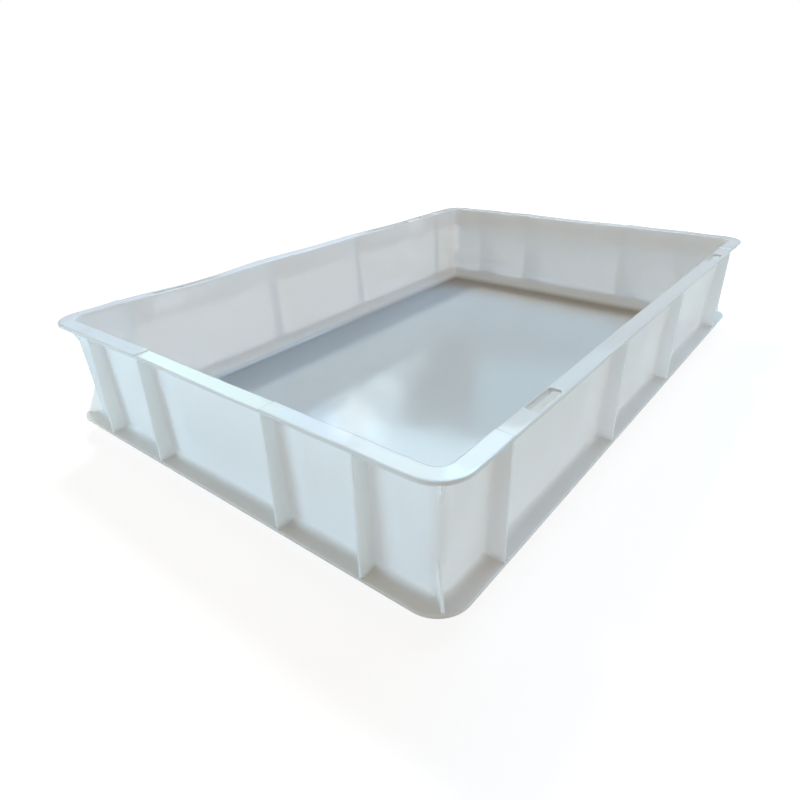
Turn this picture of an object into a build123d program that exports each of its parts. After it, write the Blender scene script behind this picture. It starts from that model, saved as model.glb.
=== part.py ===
from build123d import *
import os
from math import atan2, cos, degrees, radians, tan

# A shallow, open dough box: one thin-walled plastic moulding, seen here as the named parts of that moulding.
# The origin is on the table under the middle of the box. X runs along the long sides, Y along the short
# sides, Z is up. The front is the long side towards -Y, and the left is the short side towards -X.

# Driving sizes of the box, in millimetres
LENGTH = 600.0
WIDTH = 400.0
HEIGHT = 105.2

# Wall and floor
WALL_THICKNESS = 2.2
FLOOR_THICKNESS = 2.6
WALL_TOP_INSET = 11.2
WALL_FOOT_INSET = 14.5
COVE_RADIUS = 5.4
COVE_TO_CORNER_CENTRE = 0.4

# Base: the wall carried on below the foot flange, so that it plugs into the rim of the box below
BASE_DEPTH = 14.6
BASE_EDGE_RADIUS = 4.0

# Rim: a flat flange in eight lands, of which the four corner lands stand a little higher
RIM_THICKNESS = 2.0
LAND_STEP = 0.6
RIM_FILLET = 1.5
RIM_INNER_ROUND = 1.0

# Foot flange: it stands out round the base as far as the rim does, and rests on the rim of the box below
FOOT_THICKNESS = 2.2
FOOT_FILLET = 5.0

# Rounded outer edges of rim and foot, with every rounding at most this share of the flange's thickness
EDGE_RADIUS = 0.6
EDGE_SHARE = 0.4

# Upright ribs between foot and rim, four on each side, tapering outwards and filleted into the wall
RIB_ROOT_THICKNESS = 2.4
RIB_EDGE_THICKNESS = 1.8
RIB_FILLET = 3.0
RIB_INSET = 1.0
LONG_RIB_FROM_END = 62.0
LONG_RIB_MIDDLE_GAP = 137.0
SHORT_RIB_FROM_END = 61.5
SHORT_RIB_MIDDLE_GAP = 134.0

# Slots through the rim of the long sides, two on each, from a narrow ledge at the edge in to the wall.
# Their corners are rounded by at most a share of the width, and their upper edge is eased all round.
SLOT_LENGTH = 33.0
SLOT_FROM_END = 108.5
SLOT_LEDGE = 3.0
SLOT_CORNER_RADIUS = 2.0
SLOT_CORNER_SHARE = 0.4
SLOT_EASING = 0.6
SLOT_EASING_SLOPE = 45

# Corner gussets, one under the rim and one on the foot at each corner
GUSSET_THICKNESS = 2.0
GUSSET_INSET = 1.5
RIM_GUSSET_HEIGHT = 20.0
FOOT_GUSSET_HEIGHT = 26.0

# Levels and slopes that follow from the sizes above
land_top = HEIGHT - LAND_STEP
rim_underside = land_top - RIM_THICKNESS
foot_top = BASE_DEPTH + FOOT_THICKNESS
wall_slope = (WALL_FOOT_INSET - WALL_TOP_INSET) / (rim_underside - foot_top)
wall_draft = degrees(atan2(WALL_FOOT_INSET - WALL_TOP_INSET, rim_underside - foot_top))
wall_across = WALL_THICKNESS / cos(radians(wall_draft))
base_inset = WALL_FOOT_INSET + wall_slope * BASE_DEPTH


def outer_face(z):
    """Distance from the rim's edge in to the wall's outer face, at a height."""
    return WALL_FOOT_INSET - wall_slope * (z - foot_top)


def inner_face(z):
    """Distance from the rim's edge in to the wall's inner face, at a height."""
    return outer_face(z) + wall_across


# All corner arcs share one centre, which lies just inside the end of the cove
cove_reach = COVE_RADIUS * tan(radians(90 - wall_draft) / 2)
corner_radius = inner_face(FLOOR_THICKNESS) + cove_reach + COVE_TO_CORNER_CENTRE
half_length = LENGTH / 2
half_width = WIDTH / 2

# Where the ribs stand, measured from the middle of their side
long_ribs = (LONG_RIB_MIDDLE_GAP / 2, half_length - LONG_RIB_FROM_END)
short_ribs = (SHORT_RIB_MIDDLE_GAP / 2, half_width - SHORT_RIB_FROM_END)
slot_place = half_length - SLOT_FROM_END
slot_width = WALL_TOP_INSET - SLOT_LEDGE
slot_corner = min(SLOT_CORNER_RADIUS, SLOT_CORNER_SHARE * slot_width)

# The middle land of a rim ends over the outer ribs on a long side, and over the inner ribs on a short side
long_land_end = long_ribs[1]
short_land_end = short_ribs[0]

# The two kinds of side: half its length, the distance from the box's middle out to its rim edge, its ribs,
# the end of its middle land, and its slots
LONG_SIDE = (half_length, half_width, long_ribs, long_land_end, (-slot_place, slot_place))
SHORT_SIDE = (half_width, half_length, short_ribs, short_land_end, ())

# Each side: name, turn about Z from the front, kind
SIDES = (
    ("front", 0, LONG_SIDE),
    ("right", 90, SHORT_SIDE),
    ("back", 180, LONG_SIDE),
    ("left", 270, SHORT_SIDE),
)

# Each corner: name, turn about Z, signs of its X and Y, and the kinds of the two sides beside it.
# The first side is the one that the turn brings to the front, the second the one to the left of that.
CORNERS = (
    ("front_left", 0, -1, -1, LONG_SIDE, SHORT_SIDE),
    ("front_right", 90, 1, -1, SHORT_SIDE, LONG_SIDE),
    ("back_right", 180, 1, 1, LONG_SIDE, SHORT_SIDE),
    ("back_left", 270, -1, 1, SHORT_SIDE, LONG_SIDE),
)


# Sections. They lie in the YZ plane: Y is the distance in from the rim's edge, Z the height.


def area(points, radii=None):
    """A face in the YZ plane with the given corners, each rounded by its radius."""
    corners = [(0, y, z) for y, z in points]
    outline = FilletPolyline(*corners, radius=radii or [0] * len(points), close=True)
    return make_face(outline)


def bay_section():
    """The open bay outside the wall, between the foot flange and the rim."""
    corners = [
        (0, foot_top),
        (WALL_FOOT_INSET, foot_top),
        (WALL_TOP_INSET, rim_underside),
        (0, rim_underside),
    ]
    return area(corners, [0, FOOT_FILLET, RIM_FILLET, 0])


def wall_section():
    """The wall and the base below it, with the fillets outside and the cove down to the floor inside."""
    beyond = corner_radius + WALL_THICKNESS
    block_corners = [
        (0, foot_top),
        (WALL_FOOT_INSET, foot_top),
        (WALL_FOOT_INSET, BASE_DEPTH),
        (base_inset, 0),
        (corner_radius, 0),
        (corner_radius, rim_underside),
        (0, rim_underside),
    ]
    block = area(block_corners, [0, 0, 0, BASE_EDGE_RADIUS, 0, 0, 0])
    tub_corners = [
        (inner_face(FLOOR_THICKNESS), FLOOR_THICKNESS),
        (beyond, FLOOR_THICKNESS),
        (beyond, HEIGHT),
        (inner_face(HEIGHT), HEIGHT),
    ]
    tub = area(tub_corners, [COVE_RADIUS, 0, 0, 0])
    return block - bay_section() - tub


def flange_section(bottom, top, inner_bottom, inner_top, inner_round):
    """A flat flange with its two outer edges and its upper inner edge rounded."""
    most = EDGE_SHARE * (top - bottom)
    outer = min(EDGE_RADIUS, most)
    inner = min(inner_round, most)
    corners = [(0, bottom), (inner_bottom, bottom), (inner_top, top), (0, top)]
    return area(corners, [outer, 0, inner, outer])


def foot_section():
    """The foot flange, from its outer edge to the wall."""
    return flange_section(BASE_DEPTH, foot_top, WALL_FOOT_INSET, WALL_FOOT_INSET, 0)


def rim_section(top):
    """The rim flange, from its outer edge to the inside of the wall."""
    return flange_section(rim_underside, top, inner_face(rim_underside), inner_face(top), RIM_INNER_ROUND)


def rib_section():
    """An upright rib seen from its side: all of the bay but a narrow strip at the edge."""
    edge_strip = area([
        (0, foot_top),
        (RIB_INSET, foot_top),
        (RIB_INSET, rim_underside),
        (0, rim_underside),
    ])
    return bay_section() - edge_strip


def rib_plan():
    """A rib seen from above, where it stands on the foot: a web that flares into the wall on both sides."""
    flare = RIB_ROOT_THICKNESS / 2 + 2 * RIB_FILLET
    depth = WALL_FOOT_INSET
    plan = Pos(0, depth / 2) * Rectangle(2 * flare, depth)
    for side in (-1, 1):
        corners = [
            (side * RIB_ROOT_THICKNESS / 2, depth),
            (side * RIB_EDGE_THICKNESS / 2, 0),
            (side * flare, 0),
            (side * flare, depth),
        ]
        plan -= make_face(FilletPolyline(*corners, radius=[RIB_FILLET, 0, 0, 0], close=True))
    return plan


def gusset_section(level, height):
    """A corner gusset: a triangle from the edge of a flange to the wall, carried into the wall."""
    tip = level + height
    depth = wall_across / 2
    return area([
        (GUSSET_INSET, level),
        (outer_face(level) + depth, level),
        (outer_face(tip) + depth, tip),
        (outer_face(tip), tip),
    ])


# Carrying a section along a side or round a corner


def along(section, start, end):
    """A section carried in a straight line along a side, from start to end."""
    return Pos(start, 0, 0) * extrude(section, end - start, dir=(1, 0, 0))


def on_side(solid, turn, edge_distance):
    """A solid moved from the front edge at the origin to its side of the box."""
    return Rot(0, 0, turn) * Pos(0, -edge_distance, 0) * solid


def round_corner(section):
    """A section carried a quarter turn, from the front side to the left side, about the corner's centre."""
    return revolve(Pos(0, -corner_radius, 0) * section, Axis.Z, -90)


def at_corner(solid, turn, x_sign, y_sign):
    """A solid moved from the origin to the centre of its corner arc."""
    centre_x = x_sign * (half_length - corner_radius)
    centre_y = y_sign * (half_width - corner_radius)
    return Pos(centre_x, centre_y, 0) * Rot(0, 0, turn) * solid


def straight_half(half_side):
    """Half the length of a side between its two corner arcs."""
    return half_side - corner_radius


def corner_reach(side):
    """How far a corner land runs along a side, from the end of the corner arc to the side's own land."""
    half_side, edge_distance, ribs, land_end, slots = side
    return straight_half(half_side) - land_end


# The parts of the moulding


def floor_panel():
    """The flat floor between the coves."""
    size_x = 2 * straight_half(half_length)
    size_y = 2 * straight_half(half_width)
    return Box(size_x, size_y, FLOOR_THICKNESS, align=(Align.CENTER, Align.CENTER, Align.MIN))


def slot_cutter():
    """One slot at the middle of the front side: through the rim and the fillet below it, eased on top."""
    outline = RectangleRounded(SLOT_LENGTH, slot_width, slot_corner)
    depth = RIM_FILLET + RIM_THICKNESS
    shaft = Pos(0, 0, land_top - depth) * extrude(outline, depth)
    easing = Pos(0, 0, land_top - SLOT_EASING) * extrude(outline, SLOT_EASING, taper=-SLOT_EASING_SLOPE)
    return Pos(0, SLOT_LEDGE + slot_width / 2, 0) * (shaft + easing)


def slotted(solid, slots):
    """A part of a side with the side's slots cut through it."""
    for place in slots:
        solid -= Pos(place, 0, 0) * slot_cutter()
    return solid


def corner_land(first_reach, second_reach):
    """A raised corner land of the rim: a quarter turn with a leg along each side beside it."""
    section = rim_section(HEIGHT)
    bend = round_corner(section)
    to_edge = Pos(0, -corner_radius, 0)
    first_leg = to_edge * along(section, 0, first_reach)
    second_leg = Rot(0, 0, -90) * to_edge * along(section, -second_reach, 0)
    return bend + first_leg + second_leg


def upright_rib():
    """A rib at the middle of the front side: its plan carried up along the sloping wall, cut to the bay."""
    rise = rim_underside - foot_top
    up_the_wall = (0, -wall_slope, 1)
    web = Pos(0, 0, foot_top) * extrude(rib_plan(), rise / cos(radians(wall_draft)), dir=up_the_wall)
    reach = RIB_ROOT_THICKNESS + 2 * RIB_FILLET
    return web & along(rib_section(), -reach, reach)


def corner_gusset(level, height):
    """A thin gusset on the diagonal of a corner, seated on the round of the wall."""
    plate = extrude(gusset_section(level, height), GUSSET_THICKNESS / 2, dir=(1, 0, 0), both=True)
    blank = Rot(0, 0, -45) * Pos(0, -corner_radius, 0) * plate
    return blank - round_corner(wall_section())


def write(name, shape):
    """Write one named part."""
    export_step(shape, f"parts/{name}.step")


def main():
    os.makedirs("parts", exist_ok=True)
    write("floor_panel", floor_panel())

    for name, turn, (half_side, edge_distance, ribs, land_end, slots) in SIDES:
        run = straight_half(half_side)
        wall = slotted(along(wall_section(), -run, run), slots)
        land = slotted(along(rim_section(land_top), -land_end, land_end), slots)
        write(f"{name}_wall", on_side(wall, turn, edge_distance))
        write(f"{name}_foot_flange", on_side(along(foot_section(), -run, run), turn, edge_distance))
        write(f"{name}_rim_land", on_side(land, turn, edge_distance))
        places = (-ribs[1], -ribs[0], ribs[0], ribs[1])
        for number, place in enumerate(places, start=1):
            rib = Pos(place, 0, 0) * upright_rib()
            write(f"{name}_rib_{number}", on_side(rib, turn, edge_distance))

    for name, turn, x_sign, y_sign, first_side, second_side in CORNERS:
        place = (turn, x_sign, y_sign)
        write(f"{name}_wall_corner", at_corner(round_corner(wall_section()), *place))
        write(f"{name}_foot_corner", at_corner(round_corner(foot_section()), *place))
        land = corner_land(corner_reach(first_side), corner_reach(second_side))
        write(f"{name}_rim_corner", at_corner(land, *place))
        rim_gusset = corner_gusset(rim_underside, -RIM_GUSSET_HEIGHT)
        write(f"{name}_rim_gusset", at_corner(rim_gusset, *place))
        foot_gusset = corner_gusset(foot_top, FOOT_GUSSET_HEIGHT)
        write(f"{name}_foot_gusset", at_corner(foot_gusset, *place))


main()
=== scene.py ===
from math import cos, pi, radians, sin

import bpy
import numpy as np
from mathutils import Matrix, Vector


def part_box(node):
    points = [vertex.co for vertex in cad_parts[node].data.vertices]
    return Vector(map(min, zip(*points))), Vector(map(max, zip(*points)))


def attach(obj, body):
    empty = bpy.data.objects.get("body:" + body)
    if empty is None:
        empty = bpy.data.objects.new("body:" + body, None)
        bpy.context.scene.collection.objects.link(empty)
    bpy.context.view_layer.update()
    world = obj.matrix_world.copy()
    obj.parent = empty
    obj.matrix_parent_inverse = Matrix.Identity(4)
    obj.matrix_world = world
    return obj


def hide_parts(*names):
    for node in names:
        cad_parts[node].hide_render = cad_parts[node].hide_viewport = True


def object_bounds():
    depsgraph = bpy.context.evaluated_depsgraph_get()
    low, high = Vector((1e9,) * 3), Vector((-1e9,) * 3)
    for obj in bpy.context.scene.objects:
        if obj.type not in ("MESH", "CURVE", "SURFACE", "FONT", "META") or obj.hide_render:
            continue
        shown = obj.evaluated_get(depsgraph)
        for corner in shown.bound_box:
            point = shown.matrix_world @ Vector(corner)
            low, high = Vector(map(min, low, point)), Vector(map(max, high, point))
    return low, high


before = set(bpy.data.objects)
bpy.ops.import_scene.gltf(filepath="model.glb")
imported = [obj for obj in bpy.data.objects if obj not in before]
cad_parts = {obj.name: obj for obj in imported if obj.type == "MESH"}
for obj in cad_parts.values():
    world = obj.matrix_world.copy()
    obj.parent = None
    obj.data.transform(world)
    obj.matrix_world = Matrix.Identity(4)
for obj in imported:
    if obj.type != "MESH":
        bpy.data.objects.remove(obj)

# A shallow, open dough box of natural polypropylene, on a white table.
# The CAD solids are the features of one moulding, so one continuous skin stands for all of them: light that
# soaks into the plastic then passes from wall to rib to rim as it does in the real box.
# Metres throughout. X runs along the long sides, Z is up, and the front long side faces -Y.

MM = 0.001

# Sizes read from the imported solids

cad_low, cad_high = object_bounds()
HALF_LENGTH = cad_high.x
HALF_WIDTH = cad_high.y
HEIGHT = cad_high.z


def box_size(node):
    """The three edge lengths of a CAD node's box."""
    low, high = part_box(node)
    return high - low


def box_centre(node):
    """The middle of a CAD node's box."""
    low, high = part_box(node)
    return (low + high) / 2


RIM_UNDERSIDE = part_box("front_rim_land")[0].z
LAND_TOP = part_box("front_rim_land")[1].z
LONG_LAND_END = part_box("front_rim_land")[1].x
SHORT_LAND_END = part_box("right_rim_land")[1].y
RIM_WIDTH = box_size("front_rim_land").y
FOOT_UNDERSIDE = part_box("front_foot_flange")[0].z
FOOT_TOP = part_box("front_foot_flange")[1].z
WALL_FOOT_INSET = box_size("front_foot_flange").y
FLOOR_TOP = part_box("floor_panel")[1].z
CORNER_RADIUS = box_size("front_left_foot_corner").x
RIB_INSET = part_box("front_rib_1")[0].y + HALF_WIDTH
RIM_GUSSET_HEIGHT = box_size("front_left_rim_gusset").z
FOOT_GUSSET_HEIGHT = box_size("front_left_foot_gusset").z

# Sizes of the moulding's details. An inset is a distance in from the rim's outer edge.

WALL = 2.2 * MM
WALL_RIM_INSET = RIM_WIDTH - WALL
EDGE_ROUND = 0.6 * MM
RIM_INNER_ROUND = 1.4 * MM
RIM_FILLET = 1.5 * MM
FOOT_FILLET = 5.0 * MM
BASE_EDGE_ROUND = 4.0 * MM
COVE = 5.3 * MM
# What is left of a fillet where a rib stands out past it
LEAST_FILLET = 0.3 * MM
RIB_ROOT_HALF = 1.2 * MM
RIB_EDGE_HALF = 0.9 * MM
RIB_EDGE_ROUND = 0.3 * MM
RIB_FILLET = 3.0 * MM
RIB_FLARE = 1.2 * MM
GUSSET_ROOT_HALF = 1.1 * MM
GUSSET_EDGE_HALF = 0.9 * MM
GUSSET_FILLET = 0.8 * MM
GUSSET_INSET = 1.5 * MM
# Length of the ramp from the middle land of the rim up to a corner land
STEP_RAMP = 1.2 * MM
SLOT_PLACE = 191.5 * MM
SLOT_HALF = 16.5 * MM
SLOT_LEDGE = 3.0 * MM
SLOT_CORNER = 2.0 * MM
SLOT_EASING = 0.6 * MM
# The skin is opened this far round a slot, and a collar fills the gap
SLOT_MARGIN = 0.8 * MM
WINDOW_START = SLOT_LEDGE - SLOT_MARGIN
WINDOW_END = WALL_RIM_INSET + SLOT_MARGIN

WALL_SLOPE = (WALL_FOOT_INSET - WALL_RIM_INSET) / (RIM_UNDERSIDE - FOOT_TOP)
BASE_INSET = WALL_FOOT_INSET + WALL_SLOPE * FOOT_UNDERSIDE
# Where the section starts under the floor, a little outside the centres of the corners
UNDERSIDE_INSET = CORNER_RADIUS - 2 * MM

# The rim's wave: how many millimetres it hangs down between two ribs, from one end of a side to the other.
# The far long side hangs most in one bay, as thin rims do after many loads.
RIM_SAG = {
    "front": (0.3, 0.6, 0.3, 0.6, 0.3),
    "right": (0.3, 0.4, 0.5, 0.4, 0.3),
    "back": (0.3, 0.8, 0.6, 2.2, 0.3),
    "left": (0.3, 0.4, 0.3, 0.4, 0.3),
}
CORNER_DROOP = {"front_right": 0.9, "back_right": 0.9, "back_left": 1.4, "front_left": 0.9}
# Where the rim hangs, its free edge drops more than the edge over the wall, by this share of the drop
RIM_LEAN = 0.6
# The drop fades out down the wall and is gone at this share of the height
DROP_END = 0.2

# How close the skin's stations lie along a plain stretch, round a corner and beyond a rib's fillet, and how
# close its rows lie under the rim
PLAIN_SPACING = 9 * MM
CORNER_STEPS = 8
BEYOND_RIB = np.array([1.0, 4.0]) * MM
UNDER_RIM_SPACING = 2.5 * MM


# The section of the moulding


def smooth(x):
    """The cubic 3x^2 - 2x^3 of x held between 0 and 1."""
    x = np.clip(x, 0, 1)
    return x * x * (3 - 2 * x)


def quarter(steps):
    """Angles of a quarter turn in equal steps, both ends included."""
    return np.linspace(0, pi / 2, steps + 1)


def wall_inset(z):
    """Inset of the wall's outer face: a straight line from the foot up to the rim."""
    return WALL_FOOT_INSET - WALL_SLOPE * (z - FOOT_TOP)


def inner_inset(z):
    """Inset of the wall's inner face: one wall thickness behind the outer face."""
    return wall_inset(z) + WALL


def base_inset(z):
    """Inset of the base's outer face: it starts below the wall's foot and goes down with the same slope."""
    return BASE_INSET - WALL_SLOPE * z


def gusset_depth(z):
    """Reach of the corner gussets before the wall: a triangle down from the rim and one up from the foot."""
    under_rim = (WALL_RIM_INSET - GUSSET_INSET) * np.clip(1 - (RIM_UNDERSIDE - z) / RIM_GUSSET_HEIGHT, 0, 1)
    on_foot = (WALL_FOOT_INSET - GUSSET_INSET) * np.clip(1 - (z - FOOT_TOP) / FOOT_GUSSET_HEIGHT, 0, 1)
    return under_rim + on_foot


def bay_inset(stations, z):
    """Inset of the bay's surface: the wall's face, less a rib's or a gusset's reach at that station.

    A rib's reach is its root fillet's depth plus a share of the depth from the wall to the rib's edge.
    """
    rib = stations["root"] + stations["share"] * (wall_inset(z) - RIB_INSET)
    return wall_inset(z) - rib - stations["gusset"] * gusset_depth(z)


def bay_fillet(stations, radius, z):
    """Fillet of the bay against a flange: full on the wall, and down to a small one as a rib stands out."""
    reach = wall_inset(z) - bay_inset(stations, z)
    return LEAST_FILLET + (radius - LEAST_FILLET) * np.clip(1 - reach / radius, 0, 1)


def row(inset, height, bay=False, rim=0.0, floor=0.0):
    """One row of the section, with its inset and height as numbers or as arrays over the stations.

    It also says whether it lies in the bay between foot and rim, and how far it belongs to the rim or floor.
    Rows that bound the slots are given a mark later.
    """
    return {"inset": inset, "height": height, "bay": bay, "rim": rim, "floor": floor, "mark": None}


def edge_rows(underside, top, rim):
    """Rows round the outer edge of a flange: two quarter circles, from its underside to its top."""
    rows = []
    for turn in quarter(3):
        rows.append(row(EDGE_ROUND * (1 - sin(turn)), underside + EDGE_ROUND * (1 - cos(turn)), rim=rim))
    for turn in quarter(3):
        rows.append(row(EDGE_ROUND * (1 - cos(turn)), top - EDGE_ROUND * (1 - sin(turn)), rim=rim))
    return rows


def base_rows():
    """Rows of the underside, the base's rounded edge and outer face, and the foot's underside and edge."""
    rows = [row(UNDERSIDE_INSET, 0, floor=1.0)]
    for turn in quarter(4):
        z = BASE_EDGE_ROUND * (1 - cos(turn))
        rows.append(row(base_inset(z) + BASE_EDGE_ROUND * (1 - sin(turn)), z, floor=1 - turn / (pi / 2)))
    for share in (0.5, 1.0):
        z = BASE_EDGE_ROUND + share * (FOOT_UNDERSIDE - BASE_EDGE_ROUND)
        rows.append(row(base_inset(z), z))
    rows.append(row(0.5 * WALL_FOOT_INSET, FOOT_UNDERSIDE))
    return rows + edge_rows(FOOT_UNDERSIDE, FOOT_TOP, rim=0.0)


def wall_rows(stations):
    """Rows over the top of the foot, up its fillet and up the wall or rib, with one at each gusset's tip."""
    fillet = bay_fillet(stations, FOOT_FILLET, FOOT_TOP)
    foot_end = bay_inset(stations, FOOT_TOP) - fillet
    rows = []
    for share in (0.15, 0.55, 0.9):
        rows.append(row(EDGE_ROUND + share * (foot_end - EDGE_ROUND), FOOT_TOP, bay=True))
    for turn in quarter(6):
        z = FOOT_TOP + fillet * (1 - cos(turn))
        rows.append(row(bay_inset(stations, z) - fillet * (1 - sin(turn)), z, bay=True))
    low = FOOT_TOP + fillet
    high = RIM_UNDERSIDE - bay_fillet(stations, RIM_FILLET, RIM_UNDERSIDE)
    foot_tip = FOOT_GUSSET_HEIGHT / (RIM_UNDERSIDE - FOOT_TOP)
    rim_tip = 1 - RIM_GUSSET_HEIGHT / (RIM_UNDERSIDE - FOOT_TOP)
    for share in (0.012, 0.05, 0.12, 0.2, foot_tip, 0.42, 0.54, 0.66, rim_tip, 0.86, 0.94, 0.985):
        z = low + share * (high - low)
        rows.append(row(bay_inset(stations, z), z, bay=True))
    rows[-1]["mark"] = "below_first"
    return rows


def under_rim_rows(stations):
    """Rows of the fillet under the rim and of the rim's underside, out to the row that bounds the slots."""
    fillet = bay_fillet(stations, RIM_FILLET, RIM_UNDERSIDE)
    rows = []
    for turn in quarter(3):
        z = RIM_UNDERSIDE - fillet * (1 - sin(turn))
        rows.append(row(bay_inset(stations, z) - fillet * (1 - cos(turn)), z, bay=True))
    start = bay_inset(stations, RIM_UNDERSIDE) - fillet
    plain_start = WALL_RIM_INSET - RIM_FILLET
    for inset in (plain_start - UNDER_RIM_SPACING, plain_start - 2 * UNDER_RIM_SPACING, WINDOW_START):
        share = (inset - EDGE_ROUND) / (plain_start - EDGE_ROUND)
        rows.append(row(EDGE_ROUND + share * (start - EDGE_ROUND), RIM_UNDERSIDE, bay=True, rim=1.0))
    rows[-1]["mark"] = "below_last"
    return rows


def rim_rows(top, slot_steps):
    """Rows round the rim's edge and over its top, where the slots have as many steps as below."""
    rows = edge_rows(RIM_UNDERSIDE, top, rim=1.0)
    first = len(rows)
    for share in np.linspace(0, 1, slot_steps + 1):
        rows.append(row(WINDOW_START + share * (WINDOW_END - WINDOW_START), top, rim=1.0))
    rows[first]["mark"] = "above_first"
    rows[-1]["mark"] = "above_last"
    return rows


def inside_rows(top):
    """Rows down the inside: the rim's rounded inner edge, the wall, and the cove to the floor's edge."""
    rows = []
    for turn in quarter(4):
        z = top - RIM_INNER_ROUND * (1 - cos(turn))
        rows.append(row(inner_inset(z) - RIM_INNER_ROUND * (1 - sin(turn)), z, rim=1 - turn / (pi / 2)))
    high = top - RIM_INNER_ROUND
    low = FLOOR_TOP + COVE
    for share in (0.015, 0.06, 0.18, 0.32, 0.46, 0.6, 0.74, 0.87, 0.96, 0.988):
        z = high + share * (low - high)
        rows.append(row(inner_inset(z), z))
    for turn in quarter(8):
        z = FLOOR_TOP + COVE * (1 - sin(turn))
        rows.append(row(inner_inset(z) + COVE * (1 - cos(turn)), z, floor=turn / (pi / 2)))
    return rows


def section_at(stations):
    """The whole section at every station, from under the floor round the outside and down the inside.

    Flats are straight lines between the two ends that the station gives. Each rounding is a quarter circle,
    and those against the wall are sheared along its slope. Returns insets and heights as arrays of stations
    by rows, the other columns as arrays over the rows, and the numbers of the marked rows, which bound the
    slots.
    """
    top = LAND_TOP + stations["land"] * (HEIGHT - LAND_TOP)
    under_rim = under_rim_rows(stations)
    rows = base_rows() + wall_rows(stations) + under_rim + rim_rows(top, len(under_rim)) + inside_rows(top)
    section = {}
    for name in ("inset", "height"):
        section[name] = np.stack([np.broadcast_to(one[name], top.shape) for one in rows], axis=1)
    for name in ("bay", "rim", "floor"):
        section[name] = np.array([one[name] for one in rows])
    marks = {one["mark"]: number for number, one in enumerate(rows) if one["mark"]}
    return section, marks


# Stations along the rim, round the box from the front's left end

# Columns of a station: its place along the side, the root depth and the share of a rib's whole depth there,
# the share of a gusset's depth, the pull of a rib's flare, the rise to a corner land, how far the rim hangs,
# and round a corner the distance from its diagonal (lateral) and the share of the rest of the turn (spread)
STATION_COLUMNS = ("along", "root", "share", "gusset", "flare", "land", "drop", "lateral", "spread")


def stretch_of(along, **columns):
    """Station columns at places along a stretch: those of a plain wall, but for the columns given."""
    stations = {name: np.zeros(len(along)) for name in STATION_COLUMNS}
    stations.update(along=along, **columns)
    return stations


def both_ways(offsets, *columns):
    """Offsets from a middle outwards and their columns, carried to both sides of the middle."""
    both = [np.concatenate([-offsets[:0:-1], offsets])]
    for column in columns:
        both.append(np.concatenate([column[:0:-1], column]))
    return both


def plate_stations(edge_half, root_half, edge_round, fillet):
    """Stations across half an upright plate, from its middle out to the wall.

    Each has an offset along the side, a root depth in metres and a share of the plate's whole depth. The
    plate's edge is flat and rounded, its flanks taper, and a quarter circle blends them into the wall.
    """
    turn = quarter(2)[::-1]
    offset = [0, *(edge_half - edge_round * (1 - np.cos(turn)))]
    root = [0, *(-edge_round * (1 - np.sin(turn)))]
    share = [1, 1, 1, 1]
    for along in (0.9, 0.5, 0.1):
        offset.append(root_half + along * (edge_half - root_half))
        root.append(fillet - along * (fillet + edge_round))
        share.append(along)
    for turn in quarter(4)[::-1]:
        offset.append(root_half + fillet * (1 - sin(turn)))
        root.append(fillet * (1 - cos(turn)))
        share.append(0)
    return np.array(offset), np.array(root), np.array(share, float)


def rib_columns():
    """Columns across one rib, with two more stations beyond its fillet on each side.

    The flare is 1 on the rib's flanks, away from its middle, and fades out over the stations beyond. Returns
    the offsets and the columns.
    """
    offset, root, share = plate_stations(RIB_EDGE_HALF, RIB_ROOT_HALF, RIB_EDGE_ROUND, RIB_FILLET)
    reach = offset[-1]
    offset = np.concatenate([offset, reach + BEYOND_RIB])
    root = np.concatenate([root, 0 * BEYOND_RIB])
    share = np.concatenate([share, 0 * BEYOND_RIB])
    flare = np.where(offset > 0, np.clip((offset[-1] - offset) / (offset[-1] - reach), 0, 1), 0)
    offset, root, share, flare = both_ways(offset, root, share, flare)
    return offset, {"root": root, "share": share, "flare": flare * np.sign(offset)}


def slot_offsets():
    """Offsets of the stations along one slot, closer round its corners, with one more beyond each end."""
    straight = SLOT_HALF - SLOT_CORNER
    offset = np.concatenate([
        np.linspace(0, straight, 4),
        np.linspace(straight, SLOT_HALF + SLOT_MARGIN, 6)[1:],
        [SLOT_HALF + 2 * SLOT_MARGIN],
    ])
    return both_ways(offset)[0]


def plain_places(run, taken):
    """Even places along a side, from -run to run, in the stretches that the taken ones leave free."""
    taken = sorted(taken)
    starts = [-run] + [end for begin, end in taken]
    ends = [begin for begin, end in taken] + [run]
    places = []
    for start, end in zip(starts, ends):
        steps = max(1, round((end - start) / PLAIN_SPACING))
        even = np.linspace(start, end, steps + 1)
        first = 0 if start == -run else 1
        last = steps + 1 if end == run else steps
        places.append(even[first:last])
    return np.concatenate(places)


def rim_drop(along, run, ribs, sags, droops):
    """How far the rim hangs along a side: a wave of (1 - cos) / 2 in each stretch between ribs, and a droop.

    The droop grows with the cube of the way towards each corner.
    """
    drop = np.zeros(len(along))
    knots = [-run, *ribs, run]
    for start, end, sag in zip(knots[:-1], knots[1:], sags):
        inside = np.clip((along - start) / (end - start), 0, 1)
        drop += sag * MM * (1 - np.cos(2 * pi * inside)) / 2
    for droop, end in zip(droops, (-1, 1)):
        towards = np.clip(end * along / run, 0, 1)
        drop += droop * MM * towards ** 3
    return drop


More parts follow.
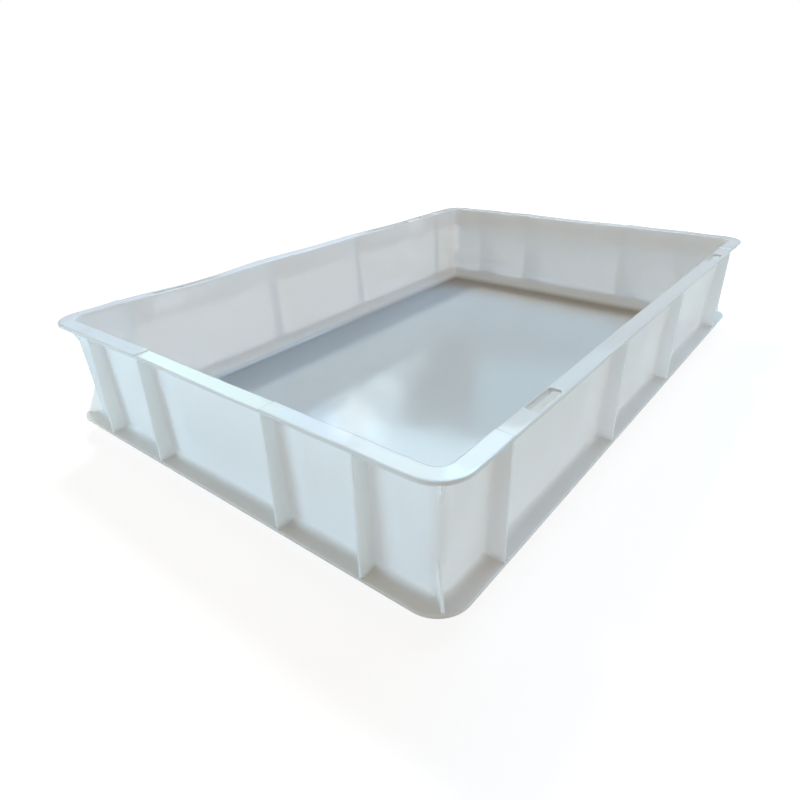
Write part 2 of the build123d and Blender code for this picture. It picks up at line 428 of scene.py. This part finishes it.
def side_stations(run, ribs, slots, land_end, sags, droops):
    """Stations along one straight side, from -run to run: its ribs' and slots' own, and even ones between."""
    rib_offset, rib = rib_columns()
    slot_offset = slot_offsets()
    taken = [(place + rib_offset[0], place + rib_offset[-1]) for place in ribs]
    taken += [(place + slot_offset[0], place + slot_offset[-1]) for place in slots]
    parts = [stretch_of(place + rib_offset, **rib) for place in ribs]
    parts += [stretch_of(place + slot_offset) for place in slots]
    parts.append(stretch_of(plain_places(run, taken)))
    joined = {name: np.concatenate([part[name] for part in parts]) for name in STATION_COLUMNS}
    order = np.argsort(joined["along"])
    stations = {name: column[order] for name, column in joined.items()}
    along = stations["along"]
    stations["land"] = np.clip((np.abs(along) - land_end) / STEP_RAMP + 0.5, 0, 1)
    stations["drop"] = rim_drop(along, run, ribs, sags, droops)
    return stations


def corner_stations(droop):
    """Stations round one corner, without its two ends, which belong to the sides.

    The middle ones carry the gusset and keep their distance from the corner's diagonal in metres (lateral).
    The others spread evenly over the rest of the quarter turn (spread, from -1 to 1).
    """
    offset, root, share = plate_stations(GUSSET_EDGE_HALF, GUSSET_ROOT_HALF, RIB_EDGE_ROUND, GUSSET_FILLET)
    gusset = share + root / (WALL_FOOT_INSET - GUSSET_INSET)
    even = np.linspace(0, 1, CORNER_STEPS + 1)[1:-1]
    spread = np.concatenate([np.zeros(len(offset)), even])
    offset = np.concatenate([offset, np.full(len(even), offset[-1])])
    gusset = np.concatenate([gusset, np.zeros(len(even))])
    lateral, gusset = both_ways(offset, gusset)
    spread = both_ways(spread)[0]
    count = len(lateral)
    return stretch_of(np.zeros(count), lateral=lateral, spread=spread, gusset=gusset,
                      land=np.ones(count), drop=np.full(count, droop * MM))


SIDE_ORDER = ("front", "right", "back", "left")
CORNER_ORDER = ("front_right", "back_right", "back_left", "front_left")


def all_stations():
    """All stations round the box, counter-clockwise from above, with the place and direction of each.

    A station's point lies at base + (corner radius - inset) along its outward direction. On a side the base
    slides along the side; round a corner it is the corner's centre. Stations over a slot carry its number.
    """
    stretches = []
    for number, (side, corner) in enumerate(zip(SIDE_ORDER, CORNER_ORDER)):
        is_long = side in ("front", "back")
        half_side = HALF_LENGTH if is_long else HALF_WIDTH
        edge = HALF_WIDTH if is_long else HALF_LENGTH
        outward = -pi / 2 + number * pi / 2
        out = np.array([cos(outward), sin(outward)])
        forward = np.array([-out[1], out[0]])
        run = half_side - CORNER_RADIUS
        ribs = sorted(box_centre(f"{side}_rib_{n}").xy @ Vector(forward) for n in (1, 2, 3, 4))
        slots = (-SLOT_PLACE, SLOT_PLACE) if is_long else ()
        land_end = LONG_LAND_END if is_long else SHORT_LAND_END
        droops = (CORNER_DROOP[CORNER_ORDER[number - 1]], CORNER_DROOP[corner])
        straight = side_stations(run, ribs, slots, land_end, RIM_SAG[side], droops)
        count = len(straight["along"])
        straight["base"] = out * (edge - CORNER_RADIUS) + forward * straight["along"][:, None]
        straight["forward"] = np.broadcast_to(forward, (count, 2))
        straight["outward"] = np.full(count, outward)
        straight["slot"] = np.zeros(count, int)
        for slot, place in enumerate(slots, start=1):
            near = np.abs(straight["along"] - place) < SLOT_HALF + 1.5 * SLOT_MARGIN
            straight["slot"][near] = slot + 2 * number
        stretches.append(straight)

        bend = corner_stations(CORNER_DROOP[corner])
        count = len(bend["along"])
        bend["base"] = np.broadcast_to(out * (edge - CORNER_RADIUS) + forward * run, (count, 2))
        bend["forward"] = np.zeros((count, 2))
        bend["outward"] = np.full(count, outward + pi / 4)
        bend["slot"] = np.zeros(count, int)
        stretches.append(bend)
    return {name: np.concatenate([one[name] for one in stretches]) for name in stretches[0]}


# The skin


def rib_flare(z):
    """Widening of a rib towards the flanges at its ends: a quarter circle against each."""
    from_end = np.minimum(z - FOOT_TOP, RIM_UNDERSIDE - z)
    short = np.clip(1 - from_end / RIB_FLARE, 0, 1)
    return RIB_FLARE * (1 - np.sqrt(1 - short ** 2))


def skin_points(stations, section):
    """Points of the skin, one for each station and row.

    Round a corner, the direction turns from the diagonal by lateral / radius for the gusset's stations, and
    the rest of the quarter turn is shared out by spread. The rim's drop grows towards its free edge and fades
    out down the wall.
    """
    insets, heights = section["inset"], section["height"]
    radius = CORNER_RADIUS - insets
    shown_radius = np.maximum(radius, CORNER_RADIUS - RIM_WIDTH)
    lateral = stations["lateral"][:, None]
    spread = stations["spread"][:, None]
    widest = np.abs(lateral).max()
    turn = lateral / shown_radius + spread * (pi / 4 - widest / shown_radius)
    angle = stations["outward"][:, None] + turn
    slide = stations["flare"][:, None] * rib_flare(heights) * section["bay"]
    flat = stations["base"][:, None, :] + stations["forward"][:, None, :] * slide[..., None]
    flat = flat + radius[..., None] * np.stack([np.cos(angle), np.sin(angle)], axis=-1)
    fade = smooth((heights - DROP_END * HEIGHT) / ((1 - DROP_END) * HEIGHT))
    lean = 1 + RIM_LEAN * (0.5 - insets / RIM_WIDTH)
    drop = stations["drop"][:, None] * fade * lean
    return np.concatenate([flat, (heights - drop)[..., None]], axis=-1)


def with_rings(points, shares):
    """The skin's points with flat rings at both ends, each a smaller copy of the end row about the axis."""
    shrink = np.array(shares)[None, :, None]
    ends = []
    for end in (points[:, :1], points[:, -1:]):
        ring = np.repeat(end, len(shares), axis=1)
        ring[..., :2] = ring[..., :2] * shrink
        ends.append(ring)
    return np.concatenate([ends[0][:, ::-1], points, ends[1]], axis=1)


def ring_faces(grid):
    """Quads between neighbouring columns of a grid of vertex numbers whose first axis runs round a loop."""
    onward = np.roll(grid, -1, axis=0)
    return np.stack([grid[:, :-1], onward[:, :-1], onward[:, 1:], grid[:, 1:]], axis=-1)


def window_loop(along_count, in_count):
    """Steps along and inward of the points round a window of a grid, in order from its first corner."""
    along = np.arange(along_count)
    inward = np.arange(in_count)
    still_along = np.zeros(in_count - 1, int)
    still_inward = np.zeros(along_count - 1, int)
    along_loop = [along[:-1], still_along + along[-1], along[:0:-1], still_along]
    inward_loop = [still_inward, inward[:-1], still_inward + inward[-1], inward[:0:-1]]
    return np.concatenate(along_loop), np.concatenate(inward_loop)


def slot_collar(points, stations, picked, marks, grid, first_new):
    """The eased edge and the side walls of one slot, between its window in the rim's top and the one below.

    The loop round the upper window is carried on to a rounded rectangle: each point goes to the nearest point
    of the rectangle's core, plus the corner radius in the same direction. The easing is a quarter circle, and
    the side wall goes straight down to the loop round the lower window.
    Returns the new points, numbered from first_new, and the quads.
    """
    above = np.arange(marks["above_first"], marks["above_last"] + 1)
    below = np.arange(marks["below_last"], marks["below_first"] - 1, -1)
    along, inward = window_loop(len(picked), len(above))
    upper = grid[picked[along], above[inward]]
    lower = grid[picked[along], below[inward]]

    places = stations["along"][picked]
    place = places[along] - places.mean()
    inset = WINDOW_START + inward / (len(above) - 1) * (WINDOW_END - WINDOW_START)
    core_place = np.clip(place, SLOT_CORNER - SLOT_HALF, SLOT_HALF - SLOT_CORNER)
    core_inset = np.clip(inset, SLOT_LEDGE + SLOT_CORNER, WALL_RIM_INSET - SLOT_CORNER)
    away = np.stack([place - core_place, inset - core_inset], axis=-1)
    away /= np.linalg.norm(away, axis=-1, keepdims=True)

    top = points.reshape(-1, 3)[upper]
    bottom = points.reshape(-1, 3)[lower]
    forward = stations["forward"][picked[0]]
    inwards = np.array([-forward[1], forward[0]])
    rings = []
    for turn in quarter(3):
        distance = SLOT_CORNER + SLOT_EASING * (1 - sin(turn))
        rings.append((distance, top[:, 2] - SLOT_EASING * (1 - cos(turn))))
    rings.append((SLOT_CORNER, bottom[:, 2]))
    made = []
    for distance, z in rings:
        moved_place = core_place + distance * away[:, 0] - place
        moved_inset = core_inset + distance * away[:, 1] - inset
        flat = top[:, :2] + moved_place[:, None] * forward + moved_inset[:, None] * inwards
        made.append(np.concatenate([flat, z[:, None]], axis=-1))
    numbers = first_new + np.arange(len(made) * len(upper)).reshape(len(made), -1)
    loops = np.concatenate([upper[None], numbers, lower[None]]).T
    return np.concatenate(made), ring_faces(loops)


# Sizes of the flat rings that close the floor, as shares of its edge
FLOOR_RINGS = (0.9, 0.75, 0.6, 0.45, 0.3, 0.15)


def moulded_skin():
    """The moulding as one closed skin: the section carried round the box, and rings that close the floor.

    Returns the points, the faces, and how far each point belongs to the rim and to the floor.
    """
    stations = all_stations()
    section, marks = section_at(stations)
    points = with_rings(skin_points(stations, section), FLOOR_RINGS)
    marks = {name: number + len(FLOOR_RINGS) for name, number in marks.items()}
    count, rows = points.shape[:2]
    grid = np.arange(count * rows).reshape(count, rows)

    keep = np.ones((count, rows - 1), bool)
    vertices = [points.reshape(-1, 3)]
    collars = []
    for slot in np.unique(stations["slot"])[1:]:
        picked = np.flatnonzero(stations["slot"] == slot)
        for first, last in (("above_first", "above_last"), ("below_first", "below_last")):
            keep[picked[0]:picked[-1], marks[first]:marks[last]] = False
        made, quads = slot_collar(points, stations, picked, marks, grid, sum(map(len, vertices)))
        vertices.append(made)
        collars.append(quads.reshape(-1, 4))
    faces = np.concatenate([ring_faces(grid)[keep], *collars])

    total = sum(map(len, vertices))
    middles = np.array([[0, 0, 0], [0, 0, FLOOR_TOP]])
    vertices = np.concatenate([*vertices, middles])
    onward = np.roll(grid, -1, axis=0)
    under = np.stack([np.full(count, total), onward[:, 0], grid[:, 0]], axis=-1)
    floor = np.stack([grid[:, -1], onward[:, -1], np.full(count, total + 1)], axis=-1)
    shares = {}
    for name, on_collar in (("rim", 1.0), ("floor", 0.0)):
        share = np.pad(section[name], len(FLOOR_RINGS), mode="edge")
        collar = np.full(total - count * rows, on_collar)
        shares[name] = np.concatenate([np.tile(share, count), collar, [share[0], share[-1]]])
    return vertices, faces.tolist() + under.tolist() + floor.tolist(), shares


def make_mesh(name, vertices, faces, sharp_over):
    """A smooth mesh object from points and faces, with edges over an angle kept sharp."""
    mesh = bpy.data.meshes.new(name)
    mesh.from_pydata(vertices.tolist(), [], faces)
    mesh.shade_smooth()
    mesh.set_sharp_from_angle(angle=sharp_over)
    mesh.validate()
    piece = bpy.data.objects.new(name, mesh)
    bpy.context.scene.collection.objects.link(piece)
    return piece


# Materials


def linear(code):
    """An sRGB hex code as linear red, green, blue and a full alpha."""
    values = np.array([int(code[i:i + 2], 16) for i in (1, 3, 5)]) / 255
    low = values / 12.92
    high = ((values + 0.055) / 1.055) ** 2.4
    return (*np.where(values <= 0.04045, low, high), 1.0)


def add_node(tree, kind, links=None, values=None, **settings):
    """Add one node. Links feed its sockets from other nodes, values fill them, and settings are its own."""
    made = tree.nodes.new(kind)
    for name, value in settings.items():
        setattr(made, name, value)
    for socket, value in (values or {}).items():
        made.inputs[socket].default_value = value
    for socket, source in (links or {}).items():
        tree.links.new(source, made.inputs[socket])
    return made


# Two inputs and the output of a Mix node that mixes colours
FIRST_COLOUR, SECOND_COLOUR, MIXED_COLOUR = 6, 7, 2


def new_material(name):
    """An empty node material and its node tree."""
    material = bpy.data.materials.new(name)
    material.use_nodes = True
    material.node_tree.nodes.clear()
    return material, material.node_tree


def natural_polypropylene():
    """Natural polypropylene, injection moulded.

    Milky and pale, so light soaks through the thin walls and shows the ribs behind them. The rim is a little
    greyer, and the floor is painted a darker grey as painted shade, for the dimmer light on the tub's floor.
    The skin is semi-gloss with a faint waviness from the mould, duller in patches where it was handled.
    """
    cloud_size, patch_size, wave_size = 90 * MM, 25 * MM, 40 * MM
    wave_depth = 0.10 * MM
    wall_scatter, rim_scatter = 9.0 * MM, 1.5 * MM

    material, tree = new_material("natural_polypropylene_moulded")
    place = add_node(tree, "ShaderNodeTexCoord").outputs["Object"]
    rim = add_node(tree, "ShaderNodeAttribute", attribute_name="rim_share").outputs["Fac"]
    floor = add_node(tree, "ShaderNodeAttribute", attribute_name="floor_share").outputs["Fac"]

    cloud = add_node(tree, "ShaderNodeTexNoise", {"Vector": place}, {"Scale": 1 / cloud_size, "Detail": 3.0})
    milky = add_node(tree, "ShaderNodeMix", {"Factor": cloud.outputs["Fac"]},
                     {FIRST_COLOUR: linear("#F2F5F6"), SECOND_COLOUR: linear("#F8FAFA")}, data_type="RGBA")
    edged = add_node(tree, "ShaderNodeMix", {"Factor": rim, FIRST_COLOUR: milky.outputs[MIXED_COLOUR]},
                     {SECOND_COLOUR: linear("#E4E7E8")}, data_type="RGBA")
    # Painted shade: the floor, inside the tub and underneath, turns a darker grey that stands in for the
    # dimmer light on the tub's floor
    floor_painted_shade = add_node(tree, "ShaderNodeMix", {"Factor": floor, FIRST_COLOUR: edged.outputs[MIXED_COLOUR]},
                    {SECOND_COLOUR: linear("#C9CDCE")}, data_type="RGBA")

    handled = add_node(tree, "ShaderNodeTexNoise", {"Vector": place},
                       {"Scale": 1 / patch_size, "Detail": 4.0})
    duller = add_node(tree, "ShaderNodeMapRange", {"Value": handled.outputs["Fac"]},
                      {"From Min": 0.45, "From Max": 0.75, "To Min": 0.10, "To Max": 0.14})
    waves = add_node(tree, "ShaderNodeTexNoise", {"Vector": place}, {"Scale": 1 / wave_size, "Detail": 1.0})
    bump = add_node(tree, "ShaderNodeBump", {"Height": waves.outputs["Fac"]},
                    {"Strength": 1.0, "Distance": wave_depth})
    scatter = add_node(tree, "ShaderNodeMapRange", {"Value": rim},
                       {"To Min": wall_scatter, "To Max": rim_scatter})

    shader = add_node(tree, "ShaderNodeBsdfPrincipled", {
        "Base Color": floor_painted_shade.outputs[MIXED_COLOUR],
        "Roughness": duller.outputs["Result"],
        "Normal": bump.outputs["Normal"],
        "Subsurface Scale": scatter.outputs["Result"],
    }, {
        "IOR": 1.49,
        "Subsurface Weight": 1.0,
        "Subsurface Radius": (1.0, 1.0, 1.0),
    }, subsurface_method="RANDOM_WALK")
    add_node(tree, "ShaderNodeOutputMaterial", {"Surface": shader.outputs["BSDF"]})
    return material


def pale_table():
    """A pale matt table top, which the camera sees as white paper.

    For the camera, a faint matt part takes the box's shadow and a glow makes up the rest of the white. The
    glow grows to full white away from the box.
    """
    # Distances from the middle of the table, and the glow there
    near, far = 0.5, 1.4
    near_glow, far_glow = 0.86, 1.0

    material, tree = new_material("pale_table")
    matt = add_node(tree, "ShaderNodeBsdfDiffuse", values={"Color": linear("#DAD5CD")})
    faint = add_node(tree, "ShaderNodeBsdfDiffuse", values={"Color": linear("#818181")})
    place = add_node(tree, "ShaderNodeTexCoord").outputs["Object"]
    away = add_node(tree, "ShaderNodeVectorMath", {0: place}, operation="LENGTH")
    whiter = add_node(tree, "ShaderNodeMapRange", {"Value": away.outputs["Value"]},
                      {"From Min": near, "From Max": far, "To Min": near_glow, "To Max": far_glow},
                      interpolation_type="SMOOTHSTEP")
    glow = add_node(tree, "ShaderNodeEmission", {"Strength": whiter.outputs["Result"]})
    paper = add_node(tree, "ShaderNodeAddShader", {0: faint.outputs["BSDF"], 1: glow.outputs["Emission"]})
    rays = add_node(tree, "ShaderNodeLightPath")
    shown = add_node(tree, "ShaderNodeMixShader",
                     {0: rays.outputs["Is Camera Ray"], 1: matt.outputs["BSDF"], 2: paper.outputs["Shader"]})
    add_node(tree, "ShaderNodeOutputMaterial", {"Surface": shown.outputs["Shader"]})
    return material


# The box

# Edges that bend more than this stay sharp
SHARP_OVER = radians(38)

vertices, faces, shares = moulded_skin()
skin = make_mesh("moulded_box", vertices, faces, SHARP_OVER)
for name, share in shares.items():
    skin.data.attributes.new(name + "_share", "FLOAT", "POINT").data.foreach_set("value", share)
skin.data.materials.append(natural_polypropylene())
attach(skin, "root")
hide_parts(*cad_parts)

# Table, just clear of the box's underside

TABLE_HALF = 6.0
TABLE_DROP = 0.4 * MM
corners = [(x * TABLE_HALF, y * TABLE_HALF, -TABLE_DROP) for x, y in ((-1, -1), (1, -1), (1, 1), (-1, 1))]
table_mesh = bpy.data.meshes.new("table")
table_mesh.from_pydata(corners, [], [(0, 1, 2, 3)])
table = bpy.data.objects.new("table", table_mesh)
table_mesh.materials.append(pale_table())
bpy.context.scene.collection.objects.link(table)

# Light


def bearing(azimuth, elevation, distance):
    """The place at a distance from the frame's origin, from degrees round from +X and degrees up."""
    across = cos(radians(elevation))
    ahead = Vector((across * cos(radians(azimuth)), across * sin(radians(azimuth)), sin(radians(elevation))))
    return distance * ahead


def soft_light(name, place, aim, width, height, colour, strength, roll=0, lights=True, mirrors=True):
    """A rectangular soft light at a place, turned to a point, with its width level before it is rolled.

    A strength of 1 lights a white surface that faces it at that point up to white. The plastic can be lit by
    it, or mirror it, or both.
    """
    place = Vector(place)
    back = place - Vector(aim)
    data = bpy.data.lights.new(name, "AREA")
    data.shape = "RECTANGLE"
    data.size, data.size_y = width, height
    data.color = linear(colour)[:3]
    data.energy = strength * pi * pi * back.length_squared
    lamp = bpy.data.objects.new(name, data)
    turn = back.to_track_quat("Z", "Y").to_matrix() @ Matrix.Rotation(radians(roll), 3, "Z")
    lamp.matrix_world = Matrix.Translation(place) @ turn.to_4x4()
    lamp.visible_camera = False
    lamp.visible_diffuse = lights
    lamp.visible_glossy = mirrors
    bpy.context.scene.collection.objects.link(lamp)


# The frame's origin, on the table under the middle of the box
BOX_MIDDLE = (0, 0, 0)
MIRRORED_DISTANCE = 20.0


def mirrored_light(name, azimuth, elevation, width, height, colour, strength, roll=0):
    """A far light on a bearing from the box that the plastic mirrors and isn't lit by."""
    place = bearing(azimuth, elevation, MIRRORED_DISTANCE)
    soft_light(name, place, BOX_MIDDLE, width, height, colour, strength, roll=roll, lights=False)


# Daylight from the right and from behind, pale cards round the box, and a strip at the foot of the front.
# Each has its name, place, aim, width, height, colour and strength.
soft_light("window_behind", bearing(57, 53, 3.1), BOX_MIDDLE, 0.4, 0.35, "#F9FFFA", 0.423, mirrors=False)
soft_light("window_right", bearing(2, 57, 2.6), BOX_MIDDLE, 2.0, 0.95, "#8FCFFF", 0.555)
soft_light("card_left", (-1.1, 0.45, 0.06), (-0.28, 0, 0.06), 0.6, 0.09, "#BAE6FF", 0.62, mirrors=False)
soft_light("card_front", (0.4, -1.0, 0.06), (0.2, 0, 0.06), 1.8, 0.09, "#C4F1FF", 0.34, mirrors=False)
soft_light("card_back", (0.3, 1.2, 0.06), (0.1, 0, 0.06), 1.6, 0.09, "#D8E8FF", 0.30, mirrors=False)
soft_light("strip_front", (0, -0.245, 0.016), (0, -0.189, 0.07), 0.6, 0.03, "#E8E6FF", 0.78, mirrors=False)

# The windows, the gap between them and the room, as the gloss of the rim and floor mirrors them.
# Each has its name, azimuth, elevation, width, height, colour and strength.
mirrored_light("mirrored_window", 31.5, 39.2, 8.0, 5.2, "#D2F2FF", 0.175, roll=-8)
mirrored_light("mirrored_corner", 49.5, 37.25, 1.95, 6.15, "#AFDFFF", 0.038)
mirrored_light("mirrored_side_window", 59.15, 29.95, 4.0, 7.35, "#CEFFFD", 0.071)
mirrored_light("mirrored_low_window", 18, 27.6, 8.15, 2.52, "#B2E9FF", 0.018)
mirrored_light("mirrored_room", 10, 15.5, 10.3, 4.55, "#D8EFFF", 0.0125)
mirrored_light("mirrored_sky", 69.65, 20.5, 2.85, 2.45, "#A5DBFF", 0.0083)
mirrored_light("mirrored_horizon", 58, 12.5, 11.2, 3.15, "#B4D6FF", 0.0245)
mirrored_light("mirrored_gap", 43.5, 29.2, 3.27, 1.9, "#E3F6FF", 0.0105, roll=48.5)
mirrored_light("mirrored_gap_core", 45.4, 30.5, 1.98, 1.12, "#F0FAFF", 0.0052, roll=49)
mirrored_light("mirrored_gap_end", 39.2, 24.6, 2.1, 1.22, "#D8F3FF", 0.0022, roll=47)

# Warm light from the rest of the room, which the camera sees as plain white
ROOM_STRENGTH = 0.355
world = bpy.data.worlds.new("soft_room")
bpy.context.scene.world = world
world.use_nodes = True
tree = world.node_tree
tree.nodes.clear()
room = add_node(tree, "ShaderNodeBackground", values={"Color": linear("#FFE1BE"), "Strength": ROOM_STRENGTH})
white = add_node(tree, "ShaderNodeBackground", values={"Color": linear("#FFFFFF"), "Strength": 1.0})
rays = add_node(tree, "ShaderNodeLightPath")
shown = add_node(tree, "ShaderNodeMixShader", {
    0: rays.outputs["Is Camera Ray"],
    1: room.outputs["Background"],
    2: white.outputs["Background"],
})
add_node(tree, "ShaderNodeOutputWorld", {"Surface": shown.outputs["Shader"]})

# Camera, fitted to the photo's rim and foot edges

IMAGE_WIDTH = 800
FOCAL_PIXELS = 594.4
CAMERA_PLACE = Vector((-0.48153, -0.32034, 0.26680))
CAMERA_LOOK = Vector((0.68673, 0.55795, -0.46594))
CAMERA_ROLL = radians(-1.585)

camera_data = bpy.data.cameras.new("camera")
camera_data.sensor_width = 36.0
camera_data.lens = camera_data.sensor_width * FOCAL_PIXELS / IMAGE_WIDTH
camera_data.clip_start = 0.01
camera_data.clip_end = 50
camera = bpy.data.objects.new("camera", camera_data)
turn = CAMERA_LOOK.to_track_quat("-Z", "Y").to_matrix() @ Matrix.Rotation(CAMERA_ROLL, 3, "Z")
camera.matrix_world = Matrix.Translation(CAMERA_PLACE) @ turn.to_4x4()
bpy.context.scene.collection.objects.link(camera)
bpy.context.scene.camera = camera
bpy.context.scene.view_settings.view_transform = "Standard"
